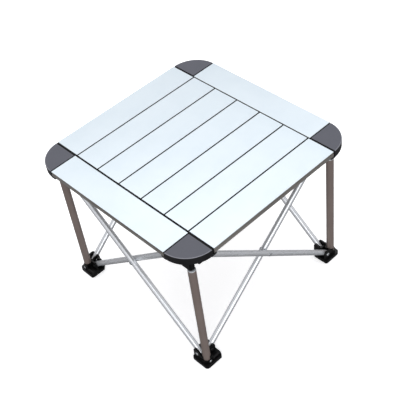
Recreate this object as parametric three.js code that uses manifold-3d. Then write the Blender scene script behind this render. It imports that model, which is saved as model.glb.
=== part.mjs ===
// Folding side table: a roll-up slatted top in a frame of two end rails and four corner caps,
// standing on four legs joined by a pair of crossing braces on each side.
// Millimetres, +Z up. The origin is on the floor under the middle of the table.
// The frame is the same at every corner, turned by 90 degrees, so each corner unit is built once
// in its own frame: origin on the leg axis, +X inboard towards the next corner anticlockwise,
// +Y inboard towards the corner before it.
import * as THREE from 'three';
import { mergeVertices } from 'three/addons/utils/BufferGeometryUtils.js';
import Module from 'manifold-3d';

const wasm = await Module();
wasm.setup();

// Driving dimensions
const TOP_SIZE = 448;
const TOP_HEIGHT = 337;
const CAP_RADIUS = 60.4;
const LEG_INSET = 34;
const LEG_RADIUS = 8;
const BRACE_RADIUS = 6;
const PIN_INBOARD = 18.5;
const FOOT_PIN_HEIGHT = 19.5;
const TOP_PIN_DROP = 29.5;
const PANEL_THICKNESS = 12;
const SLAT_COUNT = 7;
const SLAT_GAP = 2.8;

// Running and touching gaps
const TOUCH = 0.3;
const BRACE_PLANE_STEP = 2 * BRACE_RADIUS + 0.5;

// How far joined shapes run into each other, and how far a cutting shape runs past the body
const OVERLAP = 1;
const OVERRUN = 20;

// Wall thicknesses
const PANEL_SKIN = 1.4;
const PANEL_CELLS = 3;
const LEG_WALL = 1.2;
const BRACE_WALL = 1;
const PLATE = 3;

// Table top
const HALF_TOP = TOP_SIZE / 2;
const APEX = HALF_TOP - CAP_RADIUS;
const SLAT_PITCH = TOP_SIZE / SLAT_COUNT;
const SLAT_END_GAP_NEAR = 3.8;
const SLAT_END_GAP_FAR = 3;
const RAIL_LIP = 11;
const RAIL_LIP_THICKNESS = 2;
const CAP_PLATE = 3;
const CAP_WALL = 2.6;
const CAP_SKIRT_DEPTH = 17;
const CAP_FLANGE_TOP = PANEL_THICKNESS + TOUCH;
const CAP_FLANGE_BOTTOM = 15.5;
const CAP_FLANGE_REACH = 16;
const CAP_FLANGE_SETBACK = 4;
const CAP_ARC_STEPS = 10;
const EDGE_BEVEL = 0.8;

// Shock cord
const CORD_RADIUS = 2;
const CORD_BORE = 2.6;
const CORD_OFFSET = 110;
const CORD_HALF_LENGTH = 194;
const CORD_SIDES = 8;

// Corner units
const LEG_AXIS = HALF_TOP - LEG_INSET;
const UNIT_OUTER = 9.3;
const UNIT_REACH = 29;
const LEG_FOOT = 8;
const LEG_TOP = TOP_HEIGHT - 54;
const PEG_RADIUS = LEG_RADIUS - LEG_WALL - TOUCH;
const PEG_WALL = 1.2;
const PEG_ENGAGED = 26;
const FORK_HALF_GAP = BRACE_RADIUS + TOUCH;
const BRACKET_TOP = TOP_HEIGHT - CAP_FLANGE_BOTTOM - TOUCH;
const BRACKET_PLATE = 3.5;
const BRACKET_BLOCK_BOTTOM = TOP_HEIGHT - 46;
const BRACKET_OUTER_LUG_BOTTOM = TOP_HEIGHT - 45;
const BRACKET_INNER_LUG_BOTTOM = TOP_HEIGHT - 40;
const BRACKET_BLOCK_INNER = 1;
const BRACKET_BLOCK_END = 14;
const BRACKET_LUG_NEAR = 7.5;
const FOOT_OUTER = 14;
const FOOT_LUG_TOP = 32;
const FOOT_LUG_SHOULDER = 26.5;
const FOOT_HUB_TOP = 24;
const FOOT_SKIRT_TOP = 14;
const LUG_HALF = 9;
const LUG_CROWN_HALF = 4.5;
const LUG_CHAMFER = 4.5;
const CORNER_CHAMFER = 7;
const EDGE_CHAMFER = 3;

// Pins and rivets
const PIN_RADIUS = 2.5;
const PIN_HOLE = PIN_RADIUS + TOUCH;
const PIN_HEAD = 4;
const PIN_HEAD_CROWN = 2.8;
const PIN_HEAD_HEIGHT = 1.5;
const HEAD_RELIEF = PIN_HEAD + 0.6;
const HEAD_RELIEF_END = UNIT_OUTER + PIN_HEAD_HEIGHT + 3 * TOUCH;

// Braces: both of a side have their pins at the same four places, in two planes side by side
const TOP_PIN_HEIGHT = TOP_HEIGHT - TOP_PIN_DROP;
const SIDE_RUN = 2 * (LEG_AXIS - PIN_INBOARD);
const BRACE_RISE = TOP_PIN_HEIGHT - FOOT_PIN_HEIGHT;
const BRACE_LENGTH = Math.hypot(SIDE_RUN, BRACE_RISE);
const BRACE_ANGLE = Math.atan2(BRACE_RISE, SIDE_RUN);
const BRACE_END = 6.6;
const BRACE_END_STEPS = 4;

// Facets round a bar: tubes, braces, pin holes and cord bores
const TUBE_SIDES = 16;
const BRACE_SIDES = 12;
const PIN_SIDES = 8;
const CORD_BORE_SIDES = 6;

const CORNERS = ['left', 'front', 'right', 'back'];
const SIDES = ['left_side', 'front_side', 'right_side', 'back_side'];

const panelPaint = new THREE.MeshStandardMaterial({ color: 0xeaf2f6, roughness: 0.38, metalness: 0.35 });
const capPlastic = new THREE.MeshStandardMaterial({ color: 0x55565e, roughness: 0.55, metalness: 0 });
const bracketPlastic = new THREE.MeshStandardMaterial({ color: 0x17171a, roughness: 0.5, metalness: 0 });
const legMetal = new THREE.MeshStandardMaterial({ color: 0x706460, roughness: 0.4, metalness: 0.7 });
const brightMetal = new THREE.MeshStandardMaterial({ color: 0xd4d8dc, roughness: 0.28, metalness: 0.9 });
const cordRubber = new THREE.MeshStandardMaterial({ color: 0x202226, roughness: 0.85, metalness: 0 });

/** Turns a closed geometry into a solid that can be joined and cut. */
function solid(geometry) {
  const bare = geometry.clone();
  bare.deleteAttribute('normal');
  bare.deleteAttribute('uv');
  const merged = mergeVertices(bare, 1e-4);
  const vertProperties = new Float32Array(merged.attributes.position.array);
  const triVerts = new Uint32Array(merged.index.array);
  return new wasm.Manifold(new wasm.Mesh({ numProp: 3, vertProperties, triVerts }));
}

/** Turns a solid back into a geometry. */
function geometryOf(body) {
  const mesh = body.getMesh();
  const geometry = new THREE.BufferGeometry();
  geometry.setAttribute('position', new THREE.BufferAttribute(new Float32Array(mesh.vertProperties), 3));
  geometry.setIndex(new THREE.BufferAttribute(new Uint32Array(mesh.triVerts), 1));
  return geometry;
}

/** A box between two corners. */
function block(x0, x1, y0, y1, z0, z1) {
  const geometry = new THREE.BoxGeometry(x1 - x0, y1 - y0, z1 - z0);
  geometry.translate((x0 + x1) / 2, (y0 + y1) / 2, (z0 + z1) / 2);
  return solid(geometry);
}

/** A round bar along one axis, from one coordinate to another, centred at (a, b) across it. */
function bar(axis, radius, from, to, a, b, sides = TUBE_SIDES) {
  const geometry = new THREE.CylinderGeometry(radius, radius, to - from, sides);
  const middle = (from + to) / 2;
  if (axis === 'x') {
    geometry.rotateZ(Math.PI / 2);
    geometry.translate(middle, a, b);
  } else if (axis === 'y') {
    geometry.translate(a, middle, b);
  } else {
    geometry.rotateX(Math.PI / 2);
    geometry.translate(a, b, middle);
  }
  return solid(geometry);
}

/** A flat outline given as [x, y] points, raised from z0 to z1. */
function slab(points, z0, z1) {
  const shape = new THREE.Shape(points.map(([x, y]) => new THREE.Vector2(x, y)));
  const geometry = new THREE.ExtrudeGeometry(shape, { depth: z1 - z0, bevelEnabled: false });
  geometry.translate(0, 0, z0);
  return solid(geometry);
}

/** An upright plate across X or Y, its outline given in the plane (along, z). */
function plate(normal, outline, from, to) {
  const shape = new THREE.Shape(outline.map(([a, z]) => new THREE.Vector2(a, z)));
  const geometry = new THREE.ExtrudeGeometry(shape, { depth: to - from, bevelEnabled: false });
  geometry.rotateX(Math.PI / 2);
  if (normal === 'y') {
    geometry.translate(0, to, 0);
  } else {
    geometry.rotateZ(Math.PI / 2);
    geometry.translate(from, 0, 0);
  }
  return solid(geometry);
}

/** Joins a list of solids. */
function join(parts) {
  return parts.reduce((whole, part) => whole.add(part));
}

/** Cuts every solid of a list out of a body. */
function cut(body, tools) {
  return tools.reduce((rest, tool) => rest.subtract(tool), body);
}

/** An extruded panel along X, its top face at z = 0: a flat box section with a row of open cells. */
function panel(width, x0, x1) {
  const half = width / 2;
  const bottom = -PANEL_THICKNESS;
  const outline = [
    [-half, bottom], [half, bottom], [half, -EDGE_BEVEL], [half - EDGE_BEVEL, 0],
    [-half + EDGE_BEVEL, 0], [-half, -EDGE_BEVEL],
  ];
  const pitch = (width - PANEL_SKIN) / PANEL_CELLS;
  const cells = [];
  for (let i = 0; i < PANEL_CELLS; i += 1) {
    const y0 = -half + PANEL_SKIN + i * pitch;
    const y1 = y0 + pitch - PANEL_SKIN;
    cells.push(block(x0 - OVERLAP, x1 + OVERLAP, y0, y1, bottom + PANEL_SKIN, -PANEL_SKIN));
  }
  return cut(plate('x', outline, x0, x1), cells);
}

/** One slat, with the two bores that the shock cords run through; side is the closed side, or 0. */
function slatSolid(width, side) {
  const body = panel(width, -APEX + SLAT_END_GAP_NEAR, APEX - SLAT_END_GAP_FAR);
  const middle = -PANEL_THICKNESS / 2;
  const open = width / 2 + OVERLAP;
  const closed = width / 2 - 2 * PANEL_SKIN;
  const from = side < 0 ? -closed : -open;
  const to = side > 0 ? closed : open;
  const bores = [-CORD_OFFSET, CORD_OFFSET].map(
    (x) => bar('y', CORD_BORE, from, to, x, middle, CORD_BORE_SIDES),
  );
  return cut(body, bores);
}

/** An end rail along X, with the lip that the slat ends rest on along its +Y edge. */
function railSolid() {
  const half = APEX - TOUCH;
  const rail = panel(CAP_RADIUS, -half, half);
  const edge = CAP_RADIUS / 2;
  const lipTop = -PANEL_THICKNESS - TOUCH;
  const hookTop = -PANEL_THICKNESS + PANEL_SKIN;
  const lip = block(-half, half, edge - RAIL_LIP, edge + RAIL_LIP, lipTop - RAIL_LIP_THICKNESS, lipTop);
  const root = block(-half, half, edge - RAIL_LIP, edge, lipTop - RAIL_LIP_THICKNESS, hookTop);
  return join([rail, root, lip]);
}

/** Outline of a quarter disc about the origin in the -X -Y quadrant, its straight sides set in. */
function quarterDisc(radius, inset, steps) {
  const points = [[-inset, -inset]];
  const start = Math.asin(inset / radius);
  const sweep = Math.PI / 2 - 2 * start;
  for (let i = 0; i <= steps; i += 1) {
    const angle = Math.PI + start + (i * sweep) / steps;
    points.push([radius * Math.cos(angle), radius * Math.sin(angle)]);
  }
  return points;
}

/** Corner cap: a quarter-round cover, hollow below, with a flange under the rail and slat ends. */
function capSolid() {
  const inside = CAP_RADIUS - CAP_WALL;
  const below = -CAP_SKIRT_DEPTH - OVERLAP;
  const shell = slab(quarterDisc(CAP_RADIUS, 0, CAP_ARC_STEPS), -CAP_SKIRT_DEPTH, 0);
  const hollow = slab(quarterDisc(inside, CAP_WALL, CAP_ARC_STEPS), below, -CAP_PLATE);
  const under = slab(quarterDisc(inside, -OVERLAP, CAP_ARC_STEPS), below, -CAP_FLANGE_BOTTOM);
  const reach = CAP_FLANGE_REACH;
  const near = -RAIL_LIP - OVERLAP;
  const far = -CAP_RADIUS + CAP_FLANGE_SETBACK;
  const flange = join([
    block(-CAP_WALL, reach, far, near, -CAP_FLANGE_BOTTOM, -CAP_FLANGE_TOP),
    block(far, near, -CAP_WALL, reach, -CAP_FLANGE_BOTTOM, -CAP_FLANGE_TOP),
  ]);
  return cut(shell, [hollow, under]).add(flange);
}

/** Foot bracket: base, half socket for the leg, and two forks for the braces. */
function footSolid() {
  const outer = FOOT_OUTER;
  const reach = UNIT_REACH;
  const base = slab([
    [-outer + CORNER_CHAMFER, -outer], [reach - EDGE_CHAMFER, -outer], [reach, -outer + EDGE_CHAMFER],
    [reach, reach - CORNER_CHAMFER], [reach - CORNER_CHAMFER, reach],
    [-outer + EDGE_CHAMFER, reach], [-outer, reach - EDGE_CHAMFER], [-outer, -outer + CORNER_CHAMFER],
  ], 0, LEG_FOOT);
  const hub = UNIT_OUTER;
  const lug = [
    [PIN_INBOARD - LUG_HALF, OVERLAP], [PIN_INBOARD + LUG_HALF, OVERLAP],
    [PIN_INBOARD + LUG_HALF, FOOT_LUG_SHOULDER], [PIN_INBOARD + LUG_CROWN_HALF, FOOT_LUG_TOP],
    [PIN_INBOARD - LUG_CROWN_HALF, FOOT_LUG_TOP], [PIN_INBOARD - LUG_HALF, FOOT_LUG_SHOULDER],
  ];
  const gap = FORK_HALF_GAP;
  const inner = BRACE_PLANE_STEP;
  const body = join([
    base,
    block(OVERLAP, hub, -hub, hub, OVERLAP, FOOT_HUB_TOP),
    block(-hub, hub, OVERLAP, hub, OVERLAP, FOOT_HUB_TOP),
    plate('x', lug, -gap - PLATE, -gap),
    plate('x', lug, gap, gap + PLATE),
    plate('y', lug, inner - gap - PLATE, inner - gap),
    plate('y', lug, inner + gap, inner + gap + PLATE),
    block(hub - OVERLAP, reach, -hub - OVERLAP, inner - gap - OVERLAP, OVERLAP, FOOT_SKIRT_TOP),
  ]);
  return cut(body, [
    bar('z', LEG_RADIUS + TOUCH, LEG_FOOT, FOOT_HUB_TOP + OVERRUN, 0, 0),
    bar('x', PIN_HOLE, -OVERRUN, OVERRUN, PIN_INBOARD, FOOT_PIN_HEIGHT, PIN_SIDES),
    bar('y', PIN_HOLE, -OVERRUN, 2 * OVERRUN, PIN_INBOARD, FOOT_PIN_HEIGHT, PIN_SIDES),
    bar('x', HEAD_RELIEF, UNIT_OUTER, HEAD_RELIEF_END, PIN_INBOARD, FOOT_PIN_HEIGHT, PIN_SIDES),
  ]);
}

/** Top bracket: plate under the cap, block on the outer corner of the peg, and two forks. */
function topBracketSolid() {
  const outer = UNIT_OUTER;
  const reach = UNIT_REACH;
  const underPlate = BRACKET_TOP - BRACKET_PLATE;
  const root = underPlate + OVERLAP;
  const end = BRACKET_BLOCK_END;
  const top = slab([
    [-outer, -outer], [reach, -outer], [reach, outer], [reach - CORNER_CHAMFER, reach],
    [EDGE_CHAMFER, reach], [-outer, end],
  ], underPlate, BRACKET_TOP);
  const near = PIN_INBOARD - BRACKET_LUG_NEAR;
  const lug = (bottom) => [
    [near, root], [near, bottom + LUG_CHAMFER], [PIN_INBOARD - LUG_CROWN_HALF, bottom],
    [PIN_INBOARD + LUG_CROWN_HALF, bottom], [reach, bottom + LUG_CHAMFER], [reach, root],
  ];
  const gap = FORK_HALF_GAP;
  const inner = BRACE_PLANE_STEP;
  const outerLug = lug(BRACKET_OUTER_LUG_BOTTOM);
  const innerLug = lug(BRACKET_INNER_LUG_BOTTOM);
  const body = join([
    top,
    block(-outer, BRACKET_BLOCK_INNER, -outer, end, BRACKET_BLOCK_BOTTOM, root),
    plate('y', outerLug, -gap - PLATE, -gap),
    plate('y', outerLug, gap, gap + PLATE),
    plate('x', innerLug, inner - gap - PLATE, inner - gap),
    plate('x', innerLug, inner + gap, inner + gap + PLATE),
  ]);
  return cut(body, [
    bar('z', PEG_RADIUS + TOUCH, BRACKET_BLOCK_BOTTOM - OVERRUN, underPlate, 0, 0),
    bar('x', PIN_HOLE, 0, 2 * OVERRUN, PIN_INBOARD, TOP_PIN_HEIGHT, PIN_SIDES),
    bar('y', PIN_HOLE, -OVERRUN, OVERRUN, PIN_INBOARD, TOP_PIN_HEIGHT, PIN_SIDES),
    bar('y', HEAD_RELIEF, UNIT_OUTER, HEAD_RELIEF_END, PIN_INBOARD, TOP_PIN_HEIGHT, PIN_SIDES),
  ]);
}

/** A tube on the corner's upright axis. */
function uprightTube(radius, wall, z0, z1) {
  const bore = bar('z', radius - wall, z0 - OVERLAP, z1 + OVERLAP, 0, 0);
  return bar('z', radius, z0, z1, 0, 0).subtract(bore);
}

/** A brace along X with its pins across it, its middle at the origin and its ends rounded. */
function braceSolid() {
  const half = BRACE_LENGTH / 2;
  const far = half + BRACE_END;
  const outline = [];
  for (const side of [1, -1]) {
    for (let i = 0; i <= BRACE_END_STEPS; i += 1) {
      const angle = -Math.PI / 2 + (i * Math.PI) / BRACE_END_STEPS;
      const x = half + BRACE_END * Math.cos(angle);
      outline.push([side * x, side * BRACE_END * Math.sin(angle)]);
    }
  }
  const tube = bar('x', BRACE_RADIUS, -far, far, 0, 0, BRACE_SIDES);
  const bore = bar('x', BRACE_RADIUS - BRACE_WALL, -far - OVERLAP, far + OVERLAP, 0, 0, BRACE_SIDES);
  const ends = plate('y', outline, -2 * BRACE_RADIUS, 2 * BRACE_RADIUS);
  const holes = [-half, 0, half].map(
    (x) => bar('y', PIN_HOLE, -OVERRUN, OVERRUN, x, 0, PIN_SIDES),
  );
  return cut(tube.intersect(ends), [bore, ...holes]);
}

/** A riveted pin along Y with a domed head at each end, between the two outer faces it joins. */
function pinGeometry(from, to) {
  const head = PIN_HEAD_HEIGHT;
  const crown = PIN_HEAD_CROWN;
  const profile = [
    [0, from - head], [crown, from - head], [PIN_HEAD, from], [PIN_RADIUS, from],
    [PIN_RADIUS, to], [PIN_HEAD, to], [crown, to + head], [0, to + head],
  ];
  return new THREE.LatheGeometry(profile.map(([r, y]) => new THREE.Vector2(r, y)), PIN_SIDES);
}

const table = new THREE.Group();

/** Adds a named mesh to a group and gives it back to be placed. */
function add(group, name, geometry, material) {
  const mesh = new THREE.Mesh(geometry, material);
  mesh.name = name;
  group.add(mesh);
  return mesh;
}

/** A group turned about the table's middle, for the corner or side of that number. */
function turned(index) {
  const group = new THREE.Group();
  group.rotation.z = ((index - 1) * Math.PI) / 2;
  table.add(group);
  return group;
}

// Table top: the two end rails, the four corner caps, the slats and their cords
const railGeometry = geometryOf(railSolid());
const railNear = add(table, 'end_rail_near', railGeometry, panelPaint);
railNear.position.set(-HALF_TOP + CAP_RADIUS / 2, 0, TOP_HEIGHT);
railNear.rotation.z = -Math.PI / 2;
const railFar = add(table, 'end_rail_far', railGeometry, panelPaint);
railFar.position.set(HALF_TOP - CAP_RADIUS / 2, 0, TOP_HEIGHT);
railFar.rotation.z = Math.PI / 2;

const edgeSlatWidth = SLAT_PITCH - SLAT_GAP / 2;
const innerSlatWidth = SLAT_PITCH - SLAT_GAP;
const innerSlatGeometry = geometryOf(slatSolid(innerSlatWidth, 0));
for (let i = 1; i <= SLAT_COUNT; i += 1) {
  const side = (i === SLAT_COUNT) - (i === 1);
  const geometry = side === 0 ? innerSlatGeometry : geometryOf(slatSolid(edgeSlatWidth, side));
  const slat = add(table, `slat_${i}`, geometry, panelPaint);
  const y = side === 0 ? (i - 0.5) * SLAT_PITCH - HALF_TOP : side * (HALF_TOP - edgeSlatWidth / 2);
  slat.position.set(0, y, TOP_HEIGHT);
}

const cordGeometry = new THREE.CylinderGeometry(CORD_RADIUS, CORD_RADIUS, 2 * CORD_HALF_LENGTH, CORD_SIDES);
for (const [name, x] of [['shock_cord_near', -CORD_OFFSET], ['shock_cord_far', CORD_OFFSET]]) {
  const cord = add(table, name, cordGeometry, cordRubber);
  cord.position.set(x, 0, TOP_HEIGHT - PANEL_THICKNESS / 2);
}

// Corner units: cap, leg with its foot bracket, top bracket with its peg, and the four pins
const capGeometry = geometryOf(capSolid());
const footGeometry = geometryOf(footSolid());
const legGeometry = geometryOf(uprightTube(LEG_RADIUS, LEG_WALL, LEG_FOOT + TOUCH, LEG_TOP));
const bracketGeometry = geometryOf(topBracketSolid());
const pegGeometry = geometryOf(
  uprightTube(PEG_RADIUS, PEG_WALL, LEG_TOP - PEG_ENGAGED, BRACKET_TOP - BRACKET_PLATE - TOUCH),
);
const outerFace = FORK_HALF_GAP + PLATE + TOUCH;
const outerPinGeometry = pinGeometry(-outerFace, outerFace);
const innerPinGeometry = pinGeometry(BRACE_PLANE_STEP - outerFace, BRACE_PLANE_STEP + outerFace);

CORNERS.forEach((corner, index) => {
  const group = turned(index);
  const cap = add(group, `corner_cap_${corner}`, capGeometry, capPlastic);
  cap.position.set(-APEX, -APEX, TOP_HEIGHT);
  const unit = new THREE.Group();
  unit.position.set(-LEG_AXIS, -LEG_AXIS, 0);
  group.add(unit);
  add(unit, `foot_bracket_${corner}`, footGeometry, bracketPlastic);
  add(unit, `leg_${corner}`, legGeometry, legMetal);
  add(unit, `top_bracket_${corner}`, bracketGeometry, bracketPlastic);
  add(unit, `leg_peg_${corner}`, pegGeometry, brightMetal);
  const footOuter = add(unit, `foot_pin_outer_${corner}`, outerPinGeometry, brightMetal);
  footOuter.position.set(0, PIN_INBOARD, FOOT_PIN_HEIGHT);
  footOuter.rotation.z = -Math.PI / 2;
  const footInner = add(unit, `foot_pin_inner_${corner}`, innerPinGeometry, brightMetal);
  footInner.position.set(PIN_INBOARD, 0, FOOT_PIN_HEIGHT);
  const topOuter = add(unit, `top_pin_outer_${corner}`, outerPinGeometry, brightMetal);
  topOuter.position.set(PIN_INBOARD, 0, TOP_PIN_HEIGHT);
  const topInner = add(unit, `top_pin_inner_${corner}`, innerPinGeometry, brightMetal);
  topInner.position.set(0, PIN_INBOARD, TOP_PIN_HEIGHT);
  topInner.rotation.z = -Math.PI / 2;
});

// Sides: the outer and the inner brace, crossing at their middles on one long rivet
const braceGeometry = geometryOf(braceSolid());
const rivetGeometry = pinGeometry(-BRACE_RADIUS - TOUCH, BRACE_PLANE_STEP + BRACE_RADIUS + TOUCH);
const crossingHeight = (FOOT_PIN_HEIGHT + TOP_PIN_HEIGHT) / 2;

SIDES.forEach((side, index) => {
  const group = turned(index);
  const outer = add(group, `outer_brace_${side}`, braceGeometry, brightMetal);
  outer.position.set(0, -LEG_AXIS, crossingHeight);
  outer.rotation.y = BRACE_ANGLE;
  const inner = add(group, `inner_brace_${side}`, braceGeometry, brightMetal);
  inner.position.set(0, -LEG_AXIS + BRACE_PLANE_STEP, crossingHeight);
  inner.rotation.y = -BRACE_ANGLE;
  const rivet = add(group, `centre_rivet_${side}`, rivetGeometry, brightMetal);
  rivet.position.set(0, -LEG_AXIS, crossingHeight);
});

export default table;
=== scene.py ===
"""Folding side table: a slatted roll-up top on a folding frame of legs and crossed braces.

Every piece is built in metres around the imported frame. The frame is the same at each corner,
turned by a quarter turn, so a corner's pieces are shaped once in the corner's own axes: origin on
the leg's axis, +X inboard towards the next corner anticlockwise, +Y towards the corner before it.
"""

import logging
import math
from dataclasses import dataclass, field
from enum import Enum
from typing import Iterable, Sequence

import bmesh
import bpy
from mathutils import Matrix, Vector


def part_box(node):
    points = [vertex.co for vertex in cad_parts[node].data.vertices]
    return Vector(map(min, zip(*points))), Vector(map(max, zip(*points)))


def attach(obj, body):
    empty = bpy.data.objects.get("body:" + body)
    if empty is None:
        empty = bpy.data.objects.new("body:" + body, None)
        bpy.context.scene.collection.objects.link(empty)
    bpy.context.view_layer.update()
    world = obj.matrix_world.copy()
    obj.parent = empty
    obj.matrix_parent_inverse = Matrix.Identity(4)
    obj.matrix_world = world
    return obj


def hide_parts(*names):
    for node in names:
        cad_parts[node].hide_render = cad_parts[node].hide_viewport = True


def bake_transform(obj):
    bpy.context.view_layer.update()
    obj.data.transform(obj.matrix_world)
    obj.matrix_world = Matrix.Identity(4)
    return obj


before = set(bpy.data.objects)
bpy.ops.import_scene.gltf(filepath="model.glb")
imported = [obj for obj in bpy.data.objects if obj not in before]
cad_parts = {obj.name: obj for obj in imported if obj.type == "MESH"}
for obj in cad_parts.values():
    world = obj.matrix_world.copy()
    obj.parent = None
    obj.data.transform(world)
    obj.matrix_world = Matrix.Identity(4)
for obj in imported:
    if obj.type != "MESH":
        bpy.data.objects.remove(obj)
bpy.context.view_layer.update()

LOG = logging.getLogger("side_table")
MM = 0.001
CLEARANCE = 0.3 * MM  # between pieces that turn or rest against each other
WELD = 0.02 * MM  # points closer than this become one
DRILL = 20 * MM  # how far a cutting bar reaches, enough to pass right through
BRACE_RADIUS = 6 * MM
PIN_HOLE = 2.8 * MM
QUARTER = math.pi / 2
CORNERS = ("left", "front", "right", "back")
SIDES = ("left_side", "front_side", "right_side", "back_side")

Outline = Sequence[tuple[float, float]]
Socket = bpy.types.NodeSocket


class Axis(Enum):
    """The axis that a bar, a prism or a grain runs along."""

    X = 0
    Y = 1
    Z = 2


class Slot(Enum):
    """The record's material slots."""

    PANEL = "panel"
    CAP = "corner_cap"
    BRACKET = "bracket"
    LEG = "leg"
    BRIGHT = "bright_metal"
    CORD = "shock_cord"


def placed(axis: Axis, along: float, across: Sequence[float]) -> Vector:
    """A point from its place along an axis and its two other coordinates, in X, Y, Z order."""
    values = list(across)
    values.insert(axis.value, along)
    return Vector(values)


def added(name: str, data: bpy.types.ID) -> bpy.types.Object:
    """A new object in the scene."""
    made = bpy.data.objects.new(name, data)
    bpy.context.scene.collection.objects.link(made)
    return made


def linear(hex_colour: str) -> tuple[float, float, float, float]:
    """Linear RGBA of a hex colour such as "e8f1f7"."""
    values = [int(hex_colour[i:i + 2], 16) / 255 for i in (0, 2, 4)]
    lit = [v / 12.92 if v <= 0.04045 else ((v + 0.055) / 1.055) ** 2.4 for v in values]
    return lit[0], lit[1], lit[2], 1.0


# ---------------------------------------------------------------- finishes


class NodeSheet:
    """A material's node tree, with short calls for the nodes that the finishes use."""

    def __init__(self, name: str) -> None:
        """Makes a material of that name that holds a shader and an output."""
        self.material = bpy.data.materials.new(name)
        self.material.use_nodes = True
        self.tree = self.material.node_tree
        self.shader = self.tree.nodes["Principled BSDF"]

    def node(self, kind: str, **values: object) -> bpy.types.Node:
        """Adds a node with its inputs or properties set; _ in a name stands for a space."""
        made = self.tree.nodes.new(kind)
        for key, value in values.items():
            label = key.replace("_", " ")
            if label in made.inputs:
                made.inputs[label].default_value = value
            else:
                setattr(made, key, value)
        return made

    def surface(self, **values: object) -> None:
        """Sets the shader's inputs, each to a value or to another node's output."""
        for key, value in values.items():
            target = self.shader.inputs[key.replace("_", " ")]
            if isinstance(value, Socket):
                self.link(value, target)
            else:
                target.default_value = value

    def link(self, source: Socket, target: Socket) -> None:
        """Joins an output to an input."""
        self.tree.links.new(source, target)

    def stretched(self, scale: Sequence[float]) -> Socket:
        """Object coordinates stretched by a scale along each axis, as an output socket."""
        place = self.node("ShaderNodeTexCoord")
        mapping = self.node("ShaderNodeMapping", Scale=scale)
        self.link(place.outputs["Object"], mapping.inputs["Vector"])
        return mapping.outputs["Vector"]

    def noise(self, scale: Sequence[float], detail: float, rough: float) -> Socket:
        """A noise factor, by cells per metre along X, Y and Z, octaves and their roughness."""
        made = self.node("ShaderNodeTexNoise", Scale=1.0, Detail=detail, Roughness=rough)
        self.link(self.stretched(scale), made.inputs["Vector"])
        return made.outputs["Fac"]

    def between(self, factor: Socket, low: float, high: float) -> Socket:
        """Maps a factor's useful middle, 0.3 to 0.7, to the range low to high."""
        made = self.node("ShaderNodeMapRange", From_Min=0.3, From_Max=0.7, To_Min=low, To_Max=high)
        self.link(factor, made.inputs["Value"])
        return made.outputs["Result"]

    def blended(self, factor: Socket, first: str, second: str) -> Socket:
        """A colour between two hex colours, by a factor."""
        made = self.node("ShaderNodeMix", data_type="RGBA")
        colours = [s for s in made.inputs if s.type == "RGBA"]
        colours[0].default_value = linear(first)
        colours[1].default_value = linear(second)
        self.link(factor, made.inputs["Factor"])
        return [s for s in made.outputs if s.type == "RGBA"][0]

    def bump(self, height: Socket, depth: float) -> None:
        """Raises the surface by a height field of that depth in metres."""
        made = self.node("ShaderNodeBump", Strength=1.0, Distance=depth)
        self.link(height, made.inputs["Height"])
        self.surface(Normal=made.outputs["Normal"])


@dataclass(frozen=True)
class Finish:
    """A surface between two hex colours, whose material is built only once."""

    name: str
    light: str
    dark: str

    def material(self) -> bpy.types.Material:
        """Gives the finish's material, and builds it the first time."""
        if self.name not in bpy.data.materials:
            self.fill(NodeSheet(self.name))
        return bpy.data.materials[self.name]

    def fill(self, sheet: NodeSheet) -> None:
        """Adds the finish's nodes to a new material."""
        raise NotImplementedError


@dataclass(frozen=True)
class MetalFinish(Finish):
    """Drawn or extruded metal: fine lines along its length, uneven sheen, faint cloudiness.

    Attributes:
        metallic: from 0, a painted look, to 1, bare metal.
        gloss: least and most roughness.
        grain: depth of the fine lines.
        along: the axis that the lines run along.
        coat: strength of a clear layer.
        fineness: lines per metre across the grain.
        run: lines per metre along it.
        clouds: cloudy patches per metre.
    """

    metallic: float
    gloss: tuple[float, float]
    grain: float
    along: Axis = Axis.X
    coat: float = 0.0
    fineness: float = 2600.0
    run: float = 14.0
    clouds: float = 9.0

    def fill(self, sheet: NodeSheet) -> None:
        """Adds the finish's nodes to a new material."""
        fine = [self.fineness] * 3
        fine[self.along.value] = self.run
        clouds = sheet.noise((self.clouds,) * 3, 3.0, 0.6)
        lines = sheet.noise(fine, 2.0, 0.6)
        colour = sheet.blended(sheet.between(clouds, 0.0, 1.0), self.light, self.dark)
        sheet.surface(Base_Color=colour, Roughness=sheet.between(lines, *self.gloss),
                      Metallic=self.metallic, Coat_Weight=self.coat, Coat_Roughness=0.25)
        sheet.bump(lines, self.grain)


@dataclass(frozen=True)
class PlasticFinish(Finish):
    """Moulded plastic: spark-eroded grain, with rubbed and dusty patches.

    Attributes:
        gloss: least and most roughness.
        grain: depth of the grain.
        specular: strength of the sheen.
        pits: grains per metre.
        patches: rubbed patches per metre.
    """

    gloss: tuple[float, float]
    grain: float
    specular: float = 0.45
    pits: float = 1500.0
    patches: float = 38.0

    def fill(self, sheet: NodeSheet) -> None:
        """Adds the finish's nodes to a new material."""
        patches = sheet.noise((self.patches,) * 3, 4.0, 0.65)
        pits = sheet.noise((self.pits,) * 3, 1.5, 0.5)
        colour = sheet.blended(sheet.between(patches, 0.0, 1.0), self.dark, self.light)
        sheet.surface(Base_Color=colour, Roughness=sheet.between(patches, *self.gloss),
                      Specular_IOR_Level=self.specular)
        sheet.bump(pits, self.grain)


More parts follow.
